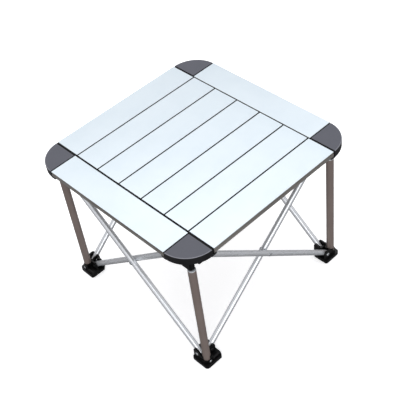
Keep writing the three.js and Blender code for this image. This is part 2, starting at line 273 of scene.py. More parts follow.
@dataclass(frozen=True)
class CordFinish(Finish):
    """Braided elastic cord: strands that cross it at a slant.

    Attributes:
        strands: strands per metre.
        relief: depth of the braid.
    """

    strands: float = 900.0
    relief: float = 0.2 * MM

    def fill(self, sheet: NodeSheet) -> None:
        """Adds the finish's nodes to a new material."""
        wave = sheet.node("ShaderNodeTexWave", Scale=1.0, Distortion=0.4, wave_type="BANDS")
        wave.bands_direction = "DIAGONAL"
        sheet.link(sheet.stretched((self.strands,) * 3), wave.inputs["Vector"])
        colour = sheet.blended(wave.outputs["Fac"], self.dark, self.light)
        sheet.surface(Base_Color=colour, Roughness=0.9, Sheen_Weight=0.3)
        sheet.bump(wave.outputs["Fac"], self.relief)


PANEL_SATIN = MetalFinish("panel_satin", "d9e3e9", "d2dde4", 0.45, (0.34, 0.46), 0.012 * MM,
                          coat=0.15)
# a darker copy of the panel metal for its sides and underside: painted shade
PANEL_SHADED_SIDE = MetalFinish("panel_shaded_side", "a8a49f", "98948f", 0.5, (0.34, 0.48), 0.012 * MM)
# darker still, for faces across the gaps between slats: painted shade in the gap
PANEL_GAP_SHADE = MetalFinish("panel_gap_shade", "767370", "696663", 0.5, (0.4, 0.55), 0.012 * MM)
LEG_ANODISED = MetalFinish("leg_anodised", "a5968f", "978983", 0.4, (0.3, 0.42), 0.01 * MM, Axis.Z)
BRACE_BRIGHT = MetalFinish("brace_bright", "fafcff", "f0f4f8", 0.6, (0.24, 0.3), 0.004 * MM,
                           fineness=300.0)
PEG_BRIGHT = MetalFinish("peg_bright", "dfe2e5", "d0d4d8", 0.92, (0.2, 0.3), 0.01 * MM, Axis.Z)
CUT_EDGE = MetalFinish("cut_edge", "f6f8fa", "eceff2", 0.4, (0.32, 0.5), 0.03 * MM, Axis.Z)
RIVET_STEEL = MetalFinish("rivet_steel", "d9dcdf", "c3c7cb", 0.9, (0.22, 0.36), 0.01 * MM)
PIN_BLACKENED = MetalFinish("pin_blackened", "2c2c2e", "1e1e20", 0.8, (0.35, 0.5), 0.01 * MM)
CAP_TOP = PlasticFinish("cap_top", "565760", "4e5059", (0.5, 0.62), 0.06 * MM)
# a lighter copy of the cap plastic for its rounded rim: a painted highlight
CAP_RIM_HIGHLIGHT = PlasticFinish("cap_rim_highlight", "8a8b93", "7c7d85", (0.3, 0.4), 0.03 * MM)
# a near-black copy of the cap plastic for faces that don't face up and the ledge: painted shade
CAP_SHADED_SIDE = PlasticFinish("cap_shaded_side", "1c1c1f", "141416", (0.32, 0.45), 0.02 * MM)
BRACKET_BLACK = PlasticFinish("bracket_black", "0c0c0d", "070708", (0.24, 0.38), 0.03 * MM, 0.3)
PLUG_BLACK = PlasticFinish("plug_black", "1b1b1d", "121213", (0.7, 0.85), 0.04 * MM, 0.15)
CORD_BRAID = CordFinish("cord_braid", "2e3036", "121316")


# ---------------------------------------------------------------- mesh building


class Solid:
    """A closed mesh while it is being shaped."""

    def __init__(self, mesh: bpy.types.Mesh) -> None:
        """Wraps a closed mesh, which this solid then owns."""
        self.mesh = mesh

    @staticmethod
    def from_rings(rings: Sequence[Sequence[Vector]], closed: bool = False) -> "Solid":
        """Skins a row of rings, capped at both ends, or joined last to first if closed."""
        bm = bmesh.new()
        rows = [[bm.verts.new(point) for point in ring] for ring in rings]
        count = len(rows[0])
        pairs = list(zip(rows, rows[1:]))
        if closed:
            pairs.append((rows[-1], rows[0]))
        else:
            bm.faces.new(list(reversed(rows[0])))
            bm.faces.new(rows[-1])
        for lower, upper in pairs:
            for i in range(count):
                j = (i + 1) % count
                bm.faces.new((lower[i], lower[j], upper[j], upper[i]))
        bmesh.ops.recalc_face_normals(bm, faces=bm.faces)
        mesh = bpy.data.meshes.new("solid")
        bm.to_mesh(mesh)
        bm.free()
        return Solid(mesh)

    @staticmethod
    def prism(outline: Outline, low: float, high: float, axis: Axis = Axis.Z) -> "Solid":
        """An outline raised from low to high along an axis.

        The outline's points are (x, y) along Z, (x, z) along Y, or (y, z) along X.
        """
        return Solid.from_rings([[placed(axis, end, pair) for pair in outline]
                                 for end in (low, high)])

    @staticmethod
    def box(low: Sequence[float], high: Sequence[float]) -> "Solid":
        """A box between two corners."""
        outline = [(low[0], low[1]), (high[0], low[1]), (high[0], high[1]), (low[0], high[1])]
        return Solid.prism(outline, low[2], high[2])

    @staticmethod
    def turned(profile: Outline, axis: Axis, centre: tuple[float, float], sides: int = 40,
               closed: bool = False) -> "Solid":
        """A profile of points (radius, place along the axis) turned about an axis.

        The centre is the axis's two other coordinates in X, Y, Z order. A closed profile is a
        loop, as of a tube's wall.
        """
        turns = [2 * math.pi * k / sides for k in range(sides)]
        rings = [[placed(axis, along, (centre[0] + radius * math.cos(t),
                                       centre[1] + radius * math.sin(t))) for t in turns]
                 for radius, along in profile]
        return Solid.from_rings(rings, closed)

    @staticmethod
    def bar(axis: Axis, radius: float, low: float, high: float, centre: tuple[float, float],
            sides: int = 40) -> "Solid":
        """A round bar along an axis."""
        return Solid.turned([(radius, low), (radius, high)], axis, centre, sides)

    @staticmethod
    def tube(axis: Axis, radius: float, wall: float, low: float, high: float, lip: float,
             band: float = 0.0, sides: int = 48) -> "Solid":
        """A tube along an axis through the origin, its rims eased by a lip.

        A band, if any, is the height of a separate ring of faces at the far end.
        """
        inner = radius - wall
        rings = [(radius, high - band)] if band > 0.0 else []
        profile = [
            (radius, low + lip), *rings, (radius, high - lip), (radius - lip * 0.7, high),
            (inner + lip * 0.5, high), (inner, high - lip), (inner, low + lip),
            (inner + lip * 0.5, low), (radius - lip * 0.7, low),
        ]
        return Solid.turned(profile, axis, (0.0, 0.0), sides, closed=True)

    def _modified(self, kind: str, **values: object) -> "Solid":
        """Applies one modifier and gives this solid back."""
        made = added("shaping", self.mesh)
        modifier = made.modifiers.new("shaping", kind)
        for key, value in values.items():
            setattr(modifier, key, value)
        bpy.context.view_layer.update()
        seen = made.evaluated_get(bpy.context.evaluated_depsgraph_get())
        self.mesh = bpy.data.meshes.new_from_object(seen)
        bpy.data.objects.remove(made)
        return self

    def _combined(self, other: "Solid", operation: str) -> "Solid":
        """Applies one boolean and gives this solid back."""
        tool = added("tool", other.mesh)
        self._modified("BOOLEAN", operation=operation, solver="EXACT", object=tool)
        bpy.data.objects.remove(tool)
        return self

    def join(self, *others: "Solid") -> "Solid":
        """Adds other solids to this one."""
        for other in others:
            self._combined(other, "UNION")
        return self

    def cut(self, *others: "Solid") -> "Solid":
        """Takes other solids out of this one."""
        for other in others:
            self._combined(other, "DIFFERENCE")
        return self

    def keep(self, other: "Solid") -> "Solid":
        """Keeps only what lies inside another solid."""
        return self._combined(other, "INTERSECT")

    def shaded(self, angle: float) -> None:
        """Smooths the shading below an angle, with each large face keeping its own flatness."""
        self.mesh.shade_smooth()
        self.mesh.set_sharp_from_angle(angle=angle)
        self._modified("WEIGHTED_NORMAL", keep_sharp=True)

    def eased(self, width: float, segments: int = 2, angle: float = 35.0) -> "Solid":
        """Rounds the edges sharper than an angle in degrees, and gives this solid back."""
        bm = bmesh.new()
        bm.from_mesh(self.mesh)
        bmesh.ops.remove_doubles(bm, verts=bm.verts, dist=WELD)
        bmesh.ops.dissolve_degenerate(bm, edges=bm.edges, dist=WELD)
        bmesh.ops.dissolve_limit(bm, angle_limit=math.radians(1), verts=bm.verts, edges=bm.edges)
        bm.to_mesh(self.mesh)
        bm.free()
        return self._modified("BEVEL", width=width, segments=segments, limit_method="ANGLE",
                              angle_limit=math.radians(angle), use_clamp_overlap=True,
                              miter_outer="MITER_ARC")


@dataclass
class Piece:
    """One finished shape that may be placed several times."""

    solid: Solid
    finish: Finish
    slot: Slot
    smooth_angle: float = 38.0
    others: tuple[Finish, ...] = ()

    def dressed(self) -> bpy.types.Mesh:
        """Gives the mesh its materials and smooth shading, and returns it."""
        self.solid.shaded(math.radians(self.smooth_angle))
        self.solid.mesh.materials.clear()
        for finish in (self.finish, *self.others):
            self.solid.mesh.materials.append(finish.material())
        return self.solid.mesh

    def paint(self, chosen: Iterable[int], number: int = 1) -> None:
        """Gives chosen faces another finish, 1 for the first of the others."""
        for index in chosen:
            self.solid.mesh.polygons[index].material_index = number

    def place(self, name: str, body: str, matrix: Matrix, *nodes: str) -> bpy.types.Object:
        """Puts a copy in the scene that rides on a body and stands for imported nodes."""
        if not self.solid.mesh.materials:
            self.dressed()
        made = added(name, self.solid.mesh)
        made.matrix_world = matrix
        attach(made, body)
        if nodes:
            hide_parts(*nodes)
        LOG.info("%s rides on %s", name, body)
        return made


# ---------------------------------------------------------------- the frame's sizes


def middle(node: str) -> Vector:
    """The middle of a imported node's box."""
    low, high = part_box(node)
    return (low + high) / 2


@dataclass(frozen=True)
class Layout:
    """The sizes that every sub-assembly shares.

    Attributes:
        height: level of the top face, half_top being half its width.
        apex: from the middle of the top to a corner cap's inner corner, in X and in Y.
        leg_axis: the same to a leg's axis.
        thickness: the slats' thickness.
        foot_pin: middle of the front corner's outer foot pin, and top_pin of its top pin.
        plane_step: how far an inner brace runs inboard of the outer one.
    """

    height: float
    half_top: float
    apex: float
    leg_axis: float
    thickness: float
    foot_pin: Vector
    top_pin: Vector
    plane_step: float

    @classmethod
    def read(cls) -> "Layout":
        """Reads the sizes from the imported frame."""
        slat_low, slat_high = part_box("slat_4")
        outer, inner = middle("outer_brace_front_side"), middle("inner_brace_front_side")
        return cls(
            height=slat_high.z,
            half_top=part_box("slat_7")[1].y,
            apex=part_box("end_rail_near")[1].y + CLEARANCE,
            leg_axis=-middle("leg_front").x,
            thickness=slat_high.z - slat_low.z,
            foot_pin=middle("foot_pin_outer_front"),
            top_pin=middle("top_pin_outer_front"),
            plane_step=inner.y - outer.y,
        )

    @property
    def pin_inboard(self) -> float:
        """How far a brace's pin stands inboard of the leg's axis."""
        return self.foot_pin.y + self.leg_axis

    def side(self, index: int) -> Matrix:
        """The turn of a side's own axes: the side along X, its outer face towards -Y."""
        return Matrix.Rotation((index - 1) * QUARTER, 4, "Z")

    def corner(self, index: int) -> Matrix:
        """The place of a corner unit's own axes."""
        return self.side(index) @ Matrix.Translation((-self.leg_axis, -self.leg_axis, 0.0))


# ---------------------------------------------------------------- table top


@dataclass
class PanelTop:
    """The end rails, the slats with their end plugs, and the shock cords.

    Attributes:
        edge_round: rounding of a panel's edges, in round_steps facets.
        groove: depth of the groove in a panel's side, from groove_top to groove_bottom down.
        bore: radius of a cord's hole, bore_depth deep; the cord fills cord_depth of it.
        plug_inset: how far a plug stands inside the panel's outline, cover_inset at the near rail.
        insert: thickness of the inserts in the ends of a rail.
        lip_root: how far a rail's lip reaches up into the rail.
    """

    layout: Layout
    edge_round: float = 0.6 * MM
    round_steps: int = 4
    groove: float = 1.1 * MM
    groove_top: float = 1.5 * MM
    groove_bottom: float = 4.8 * MM
    bore: float = 2.6 * MM
    bore_depth: float = 4.0 * MM
    cord_radius: float = 2.0 * MM
    cord_depth: float = 3.4 * MM
    cord_rings: int = 13
    plug_inset: float = 0.9 * MM
    cover_inset: float = 0.5 * MM
    insert: float = 1.2 * MM
    lip_root: float = 1.2 * MM

    def profile(self, width: float, inset: float = 0.0, grooved: bool = True) -> Outline:
        """Cross-section of a panel, across and up, its top face at 0, its edges rounded.

        It is set in all round by the inset, and has a groove in each side if it is grooved.
        """
        half = width / 2 - inset
        round_ = self.edge_round
        top, bottom = -inset - round_, inset - self.layout.thickness + round_
        corners = [(half - round_, top), (round_ - half, top),
                   (round_ - half, bottom), (half - round_, bottom)]
        levels = (-self.groove_top, -self.groove_top, -self.groove_bottom, -self.groove_bottom)
        depths = (0.0, self.groove, self.groove, 0.0)
        points: list[tuple[float, float]] = []
        for number, (y, z) in enumerate(corners):
            for step in range(self.round_steps + 1):
                angle = math.radians(90 * number + 90 * step / self.round_steps)
                points.append((y + round_ * math.cos(angle), z + round_ * math.sin(angle)))
            if grooved and number == 1:
                points += [(depth - half, level) for depth, level in zip(depths, levels)]
            if grooved and number == 3:
                points += [(half - depth, level) for depth, level in zip(depths, reversed(levels))]
        return points

    def bores(self, width: float, sides: Sequence[int]) -> list[Solid]:
        """Blind holes for the cords in the given sides (-1, 1) of a slat."""
        found = []
        for end in ("near", "far"):
            centre = (middle(f"shock_cord_{end}").x, -self.layout.thickness / 2)
            for side in sides:
                middle_y, depth = side * width / 2, self.bore_depth
                found.append(Solid.bar(Axis.Y, self.bore, middle_y - depth, middle_y + depth,
                                       centre, 20))
        return found

    def panel_piece(self, body: Solid, gap_shaded_sides: Sequence[int] = ()) -> Piece:
        """Dresses a panel: satin top, and sides and underside in a darker copy, painted shade.

        The sides (-1, 1) given as facing another panel across a gap get a darker copy still,
        painted shade in the gap.
        """
        piece = Piece(body, PANEL_SATIN, Slot.PANEL, others=(PANEL_SHADED_SIDE, PANEL_GAP_SHADE))
        faces = piece.dressed().polygons
        # sides and underside get the darker copy of the panel metal: painted shade
        sides = [p for p in faces if abs(p.normal.z) < 0.6 or -p.center.z > self.groove_top]
        piece.paint(p.index for p in sides)
        # faces across a gap to the next slat get the darker copy still: painted shade in the gap
        edge = max(v.co.y for v in body.mesh.vertices) - self.groove - self.edge_round
        gap_shade_faces = [p.index for p in sides if any(p.center.y * side > edge for side in gap_shaded_sides)]
        piece.paint(gap_shade_faces, 2)
        return piece

    def slat(self, number: int) -> None:
        """Builds one slat and its two end plugs."""
        node = f"slat_{number}"
        low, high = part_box(node)
        width = high.y - low.y
        sides = [side for side, last in ((-1, 1), (1, 7)) if number != last]
        body = Solid.prism(self.profile(width), low.x, high.x, Axis.X)
        body.cut(*self.bores(width, sides))
        place = Matrix.Translation((0.0, (low.y + high.y) / 2, self.layout.height))
        self.panel_piece(body, sides).place(f"slat_panel_{number}", node, place, node)
        edge = self.layout.apex - CLEARANCE
        for end, x0, x1, inset in (("near", -edge, low.x, self.cover_inset),
                                   ("far", high.x, edge, self.plug_inset)):
            plug = Solid.prism(self.profile(width, inset, grooved=False), x0, x1, Axis.X)
            Piece(plug, PLUG_BLACK, Slot.BRACKET).place(f"slat_plug_{number}_{end}", node, place)

    def rail(self, end: str, turn: float) -> None:
        """Builds one end rail with the lip that the slat ends rest on."""
        node = f"end_rail_{end}"
        low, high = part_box(node)
        width = self.layout.half_top - self.layout.apex
        drop = low.z - self.layout.height
        length = high.y - low.y
        reach = high.x - low.x - width
        edge = width / 2
        lip_top = -self.layout.thickness - CLEARANCE
        root = lip_top + self.lip_root
        half = length / 2 - self.insert
        body = Solid.prism(self.profile(width), -half, half, Axis.X)
        hook = [(edge - reach, drop), (edge + reach, drop), (edge + reach, lip_top),
                (edge, lip_top), (edge, root), (edge - reach, root)]
        body.join(Solid.prism(hook, -half, half, Axis.X))
        centre = math.copysign(self.layout.half_top - width / 2, middle(node).x)
        place = Matrix.Translation((centre, 0.0, self.layout.height))
        place = place @ Matrix.Rotation(turn, 4, "Z")
        self.panel_piece(body).place(f"rail_panel_{end}", "top_frame", place, node)
        outline = self.profile(width, self.plug_inset, grooved=False)
        for tip, x0, x1 in (("a", -length / 2, -half), ("b", half, length / 2)):
            insert = Piece(Solid.prism(outline, x0, x1, Axis.X), PLUG_BLACK, Slot.BRACKET)
            insert.place(f"rail_insert_{end}_{tip}", "top_frame", place)

    def cord(self, end: str) -> None:
        """Builds the stretches of one shock cord that cross the gaps between the slats."""
        node = f"shock_cord_{end}"
        centre = middle(node)
        for number in range(1, 7):
            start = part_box(f"slat_{number}")[1].y
            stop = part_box(f"slat_{number + 1}")[0].y
            step = (stop - start + 2 * self.cord_depth) / (self.cord_rings - 1)
            profile = [(self.cord_radius, start - self.cord_depth + step * k)
                       for k in range(self.cord_rings)]
            solid = Solid.turned(profile, Axis.Y, (centre.x, centre.z), 20)
            piece = Piece(solid, CORD_BRAID, Slot.CORD)
            made = added(f"cord_{end}_{number}", piece.dressed())
            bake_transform(made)
            if number == 1:
                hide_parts(node)
            LOG.info("cord_%s_%d bends between two slats", end, number)

    def build(self) -> None:
        """Builds the whole top without its corner caps."""
        self.rail("near", -QUARTER)
        self.rail("far", QUARTER)
        for number in range(1, 8):
            self.slat(number)
        for end in ("near", "far"):
            self.cord(end)


@dataclass
class CornerCap:
    """A quarter-round moulded cap: eased top, smooth skirt, ribs and flange below.

    Attributes:
        plate: thickness of the top, and wall of the skirt.
        edge_gap: how far the straight sides stand off the panels.
        ledge: width of the step along them, ledge_drop deep.
        wing: how far a tongue reaches past the cap, wing_width wide, down to wing_bottom.
        flange_near: where the flanges start from the apex, and end from the round edge, far.
        rib_start: where the ribs start from the apex; they reach up into the top by rib_bite.
        hair: keeps the faces of two cuts apart.
    """

    layout: Layout
    plate: float = 3.0 * MM
    wall: float = 2.6 * MM
    rib: float = 1.8 * MM
    edge_gap: float = 0.35 * MM
    round_: float = 1.3 * MM
    ledge: float = 1.5 * MM
    ledge_drop: float = 0.8 * MM
    wing: float = 9.0 * MM
    wing_width: float = 9.0 * MM
    wing_bottom: float = -17.0 * MM
    wing_steps: int = 12
    flange_near: float = 10.0 * MM
    flange_far: float = 4.0 * MM
    rib_start: float = 6.0 * MM
    rib_bite: float = 0.5 * MM
    hair: float = 0.01 * MM
    steps: int = 40

    def arc(self, radius: float, inset: float) -> Outline:
        """Quarter disc about the apex, in the -X -Y quadrant, its straight sides set in."""
        start = math.asin(inset / radius) if inset else 0.0
        sweep = QUARTER - 2 * start
        points = [(-inset, -inset)]
        for k in range(self.steps + 1):
            angle = math.pi + start + k * sweep / self.steps
            points.append((radius * math.cos(angle), radius * math.sin(angle)))
        return points

    def wings(self, radius: float, top: float) -> list[Solid]:
        """The tongues that carry the round skirt on, under the end of each neighbouring panel."""
        sweep = math.asin(self.wing / radius)
        turns = [sweep * k / self.wing_steps for k in range(self.wing_steps + 1)]
        inner = radius - self.wing_width
        outline = [(radius * math.sin(t), -radius * math.cos(t)) for t in turns]
        outline += [(inner * math.sin(t), -inner * math.cos(t)) for t in reversed(turns)]
        outline += [(-self.wall, -inner), (-self.wall, -math.sqrt(radius ** 2 - self.wall ** 2))]
        mirrored = [(y, x) for x, y in outline]
        return [Solid.prism(shape, self.wing_bottom, top) for shape in (outline, mirrored)]

    def solid(self) -> Solid:
        """Shapes the cap about its apex, top face at 0."""
        low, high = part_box("corner_cap_front")
        radius = self.layout.half_top - self.layout.apex
        skirt = self.layout.height - low.z
        reach = high.x + self.layout.apex
        inside = radius - self.wall
        flange_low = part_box("top_bracket_front")[1].z - self.layout.height + CLEARANCE
        flange_high = -self.layout.thickness - CLEARANCE
        body = Solid.prism(self.arc(radius, self.edge_gap), -skirt, 0.0).eased(self.round_, 3, 50.0)
        beyond = radius + MM
        body.cut(Solid.box((-self.ledge, -beyond, -self.ledge_drop), (MM, MM, MM)),
                 Solid.box((-beyond, -self.ledge, -self.ledge_drop), (MM, MM, MM)),
                 Solid.prism(self.arc(inside, self.wall), -skirt - MM, -self.plate),
                 Solid.prism(self.arc(inside, self.edge_gap + self.hair), -skirt - MM, flange_low))
        near, far = -self.flange_near, self.flange_far - radius
        body.join(Solid.box((-self.wall, far, flange_low), (reach, near, flange_high)),
                  Solid.box((far, -self.wall, flange_low), (near, reach, flange_high)),
                  *self.wings(radius, flange_high))
        for degrees in (22.5, 45.0, 67.5):
            angle = math.pi + math.radians(degrees)
            along = Vector((math.cos(angle), math.sin(angle)))
            across = Vector((-along.y, along.x)) * self.rib / 2
            start, end = along * self.rib_start, along * (inside + self.wall / 2)
            outline = [tuple(start - across), tuple(end - across),
                       tuple(end + across), tuple(start + across)]
            body.join(Solid.prism(outline, -self.layout.thickness, self.rib_bite - self.plate))
        return body

    def build(self) -> None:
        """Builds the cap once and places it at every corner."""
        piece = Piece(self.solid(), CAP_TOP, Slot.CAP, others=(CAP_SHADED_SIDE, CAP_RIM_HIGHLIGHT))
        faces = piece.dressed().polygons
        # faces that don't face up, and the ledge floor, get the near-black copy: painted shade,
        # with painted shadow in the ledge step
        piece.paint(p.index for p in faces
                    if p.normal.z < 0.5 or p.center.z < -0.5 * self.ledge_drop)
        # the rounded rim gets the lighter copy of the cap plastic: a painted highlight
        rim = (self.layout.half_top - self.layout.apex) - 2.0 * self.round_
        piece.paint((p.index for p in faces
                     if 0.5 <= p.normal.z < 0.985 and p.center.xy.length > rim), 2)
        apex = self.layout.apex
        for index, corner in enumerate(CORNERS):
            place = self.layout.side(index) @ Matrix.Translation((-apex, -apex, self.layout.height))
            piece.place(f"cap_{corner}", "top_frame", place, f"corner_cap_{corner}")


# ---------------------------------------------------------------- corner units


@dataclass
class Fastener:
    """A riveted pin: a shank with a domed head at each end, its crown a share of the head."""

    shank: float = 2.5 * MM
    head: float = 4.0 * MM
    dome: float = 1.5 * MM
    crown: float = 0.12
    steps: int = 5

    def solid(self, low: float, high: float, axis: Axis, centre: tuple[float, float]) -> Solid:
        """Shapes a pin between the two outer faces it holds together."""
        turns = [QUARTER * k / self.steps for k in range(self.steps)]
        arc = [(self.head * math.cos(t), self.dome * math.sin(t)) for t in turns]
        arc.append((self.head * self.crown, self.dome))
        profile = [(radius, low - rise) for radius, rise in reversed(arc)]
        profile += [(self.shank, low), (self.shank, high)]
        profile += [(radius, high + rise) for radius, rise in arc]
        return Solid.turned(profile, axis, centre, 32)


@dataclass
class CornerUnit:
    """A leg with its foot bracket, its peg and top bracket, and the pins that hold the braces.

    Attributes:
        plate: thickness of a fork's plates and of the gusset.
        outer: half width of a hub.
        head_relief: radius of the recess round a pin's head, relief_depth deep.
        bare_band: height of the bright sawn end of a tube.
        gusset_reach: how far the gusset reaches along its side, gusset_rise up at its end.
        hub_rise: how far a foot's hub stands above its pins, and skirt_drop its skirt below.
        collar: radius of the round part at a leg's foot, up to collar_top.
    """

    layout: Layout
    tube_wall: float = 1.2 * MM
    plate: float = 3.0 * MM
    outer: float = 9.3 * MM
    head_relief: float = 4.6 * MM
    relief_depth: float = 2.4 * MM
    bare_band: float = 1.2 * MM
    gusset_reach: float = 33.0 * MM
    gusset_rise: float = 7.0 * MM
    block_inner: float = 1.0 * MM
    hub_rise: float = 4.5 * MM
    collar: float = 10.8 * MM
    collar_top: float = 16.0 * MM
    rivet_height: float = 12.5 * MM
    skirt_drop: float = 5.5 * MM
    edge: float = 0.5 * MM
    fastener: Fastener = field(default_factory=Fastener)

    @property
    def fork(self) -> float:
        """Half the gap of a fork."""
        return BRACE_RADIUS + CLEARANCE

    def lug(self, axis: Axis, outline: Outline, centre: float) -> list[Solid]:
        """The two plates of a fork across an axis, either side of a brace's plane."""
        spans = ((centre - self.fork - self.plate, centre - self.fork),
                 (centre + self.fork, centre + self.fork + self.plate))
        return [Solid.prism(outline, low, high, axis) for low, high in spans]

    def rounded(self, half: float, low: float, high: float, crown: float) -> Outline:
        """Outline of a lug: straight sides from low, and a rounded crown at high."""
        mid = self.layout.pin_inboard
        points = [(mid - half, low), (mid + half, low)]
        sign = 1 if high > low else -1
        for start in (0, 1):
            for k in range(6):
                angle = QUARTER * (start + k / 5)
                x = mid + (half - crown) * (1 if start == 0 else -1) + crown * math.cos(angle)
                points.append((x, high - sign * crown + sign * crown * math.sin(angle)))
        return points

    def foot(self) -> Solid:
        """Shapes the foot bracket."""
        low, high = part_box("foot_bracket_front")
        out = -(low.x + self.layout.leg_axis)
        reach = high.x + self.layout.leg_axis
        base_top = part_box("leg_front")[0].z - CLEARANCE
        pin = self.layout.foot_pin.z
        inner = self.layout.plane_step
        hub = self.outer
        corner, bevel, slant = 7 * MM, 3 * MM, 9 * MM
        turns = [QUARTER * (1 - k / 6) for k in range(7)]
        outline = [(-out + corner * (1 - math.sin(t)), -out + corner * (1 - math.cos(t)))
                   for t in turns]
        outline += [(reach - bevel, -out), (reach, -out + bevel), (reach, reach - slant),
                    (reach - slant, reach), (-out + bevel, reach), (-out, reach - bevel)]
        body = Solid.prism(outline, 0.0, base_top)
        body.join(Solid.box((MM, -hub, MM), (hub, hub, pin + self.hub_rise)),
                  Solid.box((-hub, MM, MM), (hub, hub, pin + self.hub_rise)),
                  Solid.bar(Axis.Z, self.collar, MM, self.collar_top, (0.0, 0.0)))
        shape = self.rounded(9.2 * MM, MM, high.z, 7 * MM)
        body.join(*self.lug(Axis.X, shape, 0.0), *self.lug(Axis.Y, shape, inner))
        crest, skirt_end = pin - self.skirt_drop, inner - self.fork - MM
        skirt = [(-hub - MM, MM), (skirt_end, MM), (skirt_end, crest),
                 (-hub + 2 * MM, crest), (-hub - MM, crest - bevel)]
        body.join(Solid.prism(skirt, hub - MM, reach, Axis.X))
        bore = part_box("leg_front")[1].x + self.layout.leg_axis + CLEARANCE
        centre = (self.layout.pin_inboard, pin)
        body.cut(Solid.bar(Axis.Z, bore, base_top, high.z + DRILL, (0.0, 0.0)),
                 Solid.bar(Axis.X, PIN_HOLE, -DRILL, DRILL, centre, 24),
                 Solid.bar(Axis.Y, PIN_HOLE, -DRILL, 2 * DRILL, centre, 24),
                 Solid.bar(Axis.X, self.head_relief, hub, hub + self.relief_depth, centre, 24))
        slot_half, slot_low, slot_high = 2.4 * MM, 8 * MM, 12 * MM
        for x in (15 * MM, 23 * MM):
            body.cut(Solid.box((x - slot_half, -hub - 2 * MM, slot_low),
                               (x + slot_half, -hub - 0.3 * MM, slot_high)))
        return body.eased(self.edge, 2)

    def head(self) -> Solid:
        """Shapes the top bracket."""
        low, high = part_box("top_bracket_front")
        reach = high.x + self.layout.leg_axis
        under = high.z - 3.5 * MM
        root = under + MM
        pin = self.layout.top_pin.z
        inner = self.layout.plane_step
        hub = self.outer
        bevel, block_end, gusset_start, slant = 3 * MM, 14 * MM, 12 * MM, 22 * MM
        outline = [(-hub + bevel, -hub), (reach, -hub), (reach, hub), (slant, reach),
                   (bevel, reach), (-hub + self.plate, self.gusset_reach),
                   (-hub, self.gusset_reach), (-hub, -hub + bevel)]
        body = Solid.prism(outline, under, high.z)
        block = [(-hub + bevel, -hub), (self.block_inner, -hub), (self.block_inner, block_end),
                 (-hub, block_end), (-hub, -hub + bevel)]
        gusset = [(gusset_start, low.z), (block_end, low.z),
                  (self.gusset_reach, low.z + self.gusset_rise), (self.gusset_reach, root),
                  (gusset_start, root)]
        body.join(Solid.prism(block, low.z, root),
                  Solid.prism(gusset, -hub, -hub + self.plate, Axis.X))
        outer_shape = self.rounded(9 * MM, root, low.z + MM, 5 * MM)
        inner_shape = self.rounded(9 * MM, root, low.z + 6 * MM, 6 * MM)
        body.join(*self.lug(Axis.Y, outer_shape, 0.0), *self.lug(Axis.X, inner_shape, inner))
        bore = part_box("leg_peg_front")[1].x + self.layout.leg_axis + CLEARANCE
        centre = (self.layout.pin_inboard, pin)
        body.cut(Solid.bar(Axis.Z, bore, low.z - DRILL / 2, under, (0.0, 0.0)),
                 Solid.bar(Axis.X, PIN_HOLE, 0.0, 2 * DRILL, centre, 24),
                 Solid.bar(Axis.Y, PIN_HOLE, -DRILL, DRILL, centre, 24),
                 Solid.bar(Axis.Y, self.head_relief, hub, hub + self.relief_depth, centre, 24))
        return body.eased(self.edge, 2)

    def upright(self, node: str) -> Solid:
        """Shapes a leg or a peg as a tube on the corner's axis, with a bare band at its top."""
        low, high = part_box(node)
        radius, rim = (high.x - low.x) / 2, 0.35 * MM
        return Solid.tube(Axis.Z, radius, self.tube_wall, low.z, high.z, rim, self.bare_band)

    def leg_piece(self) -> Piece:
        """The leg tube, with its sawn ends and bore bright."""
        piece = Piece(self.upright("leg_front"), LEG_ANODISED, Slot.LEG, others=(CUT_EDGE,))
        low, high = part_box("leg_front")
        bore, band = 0.985 * (high.x - low.x) / 2, high.z - self.bare_band
        piece.paint(p.index for p in piece.dressed().polygons
                    if p.center.xy.length < bore or p.center.z > band)
        return piece

    def pins(self) -> dict[str, Piece]:
        """The four pins of a corner, by the start of their node names."""
        face = self.fork + self.plate + CLEARANCE
        step = self.layout.plane_step
        foot = (self.layout.pin_inboard, self.layout.foot_pin.z)
        top = (self.layout.pin_inboard, self.layout.top_pin.z)
        pins = {}
        for name, plane, axis, centre, finish in (
                ("foot_pin_outer", 0.0, Axis.X, foot, RIVET_STEEL),
                ("foot_pin_inner", step, Axis.Y, foot, PIN_BLACKENED),
                ("top_pin_outer", 0.0, Axis.Y, top, RIVET_STEEL),
                ("top_pin_inner", step, Axis.X, top, RIVET_STEEL)):
            solid = self.fastener.solid(plane - face, plane + face, axis, centre)
            pins[name] = Piece(solid, finish, Slot.BRIGHT)
        return pins

    def leg_rivet(self) -> Piece:
        """The small rivet on the collar at a leg's foot."""
        rivet = Fastener(1.6 * MM, 3 * MM, 1.1 * MM)
        solid = rivet.solid(-self.collar + 0.1 * MM, -self.collar + 0.6 * MM, Axis.Y,
                            (0.0, self.rivet_height))
        return Piece(solid, RIVET_STEEL, Slot.BRIGHT)

    def build(self) -> None:
        """Builds the corner's pieces once and places them at every corner."""
        foot = Piece(self.foot(), BRACKET_BLACK, Slot.BRACKET)
        head = Piece(self.head(), BRACKET_BLACK, Slot.BRACKET)
        leg = self.leg_piece()
        peg = Piece(self.upright("leg_peg_front"), PEG_BRIGHT, Slot.BRIGHT)
        leg_rivet = self.leg_rivet()
        pins = self.pins()
        for index, corner in enumerate(CORNERS):
            place = self.layout.corner(index)
            on_foot, on_top = f"foot_{corner}", f"top_{corner}"
            foot.place(f"foot_moulding_{corner}", on_foot, place, f"foot_bracket_{corner}")
            head.place(f"top_moulding_{corner}", on_top, place, f"top_bracket_{corner}")
            leg.place(f"leg_tube_{corner}", on_foot, place, f"leg_{corner}")
            peg.place(f"peg_tube_{corner}", on_top, place, f"leg_peg_{corner}")
            leg_rivet.place(f"leg_rivet_{corner}", on_foot, place)
            for name, piece in pins.items():
                body = on_foot if name.startswith("foot") else on_top
                piece.place(f"{name}_rivet_{corner}", body, place, f"{name}_{corner}")


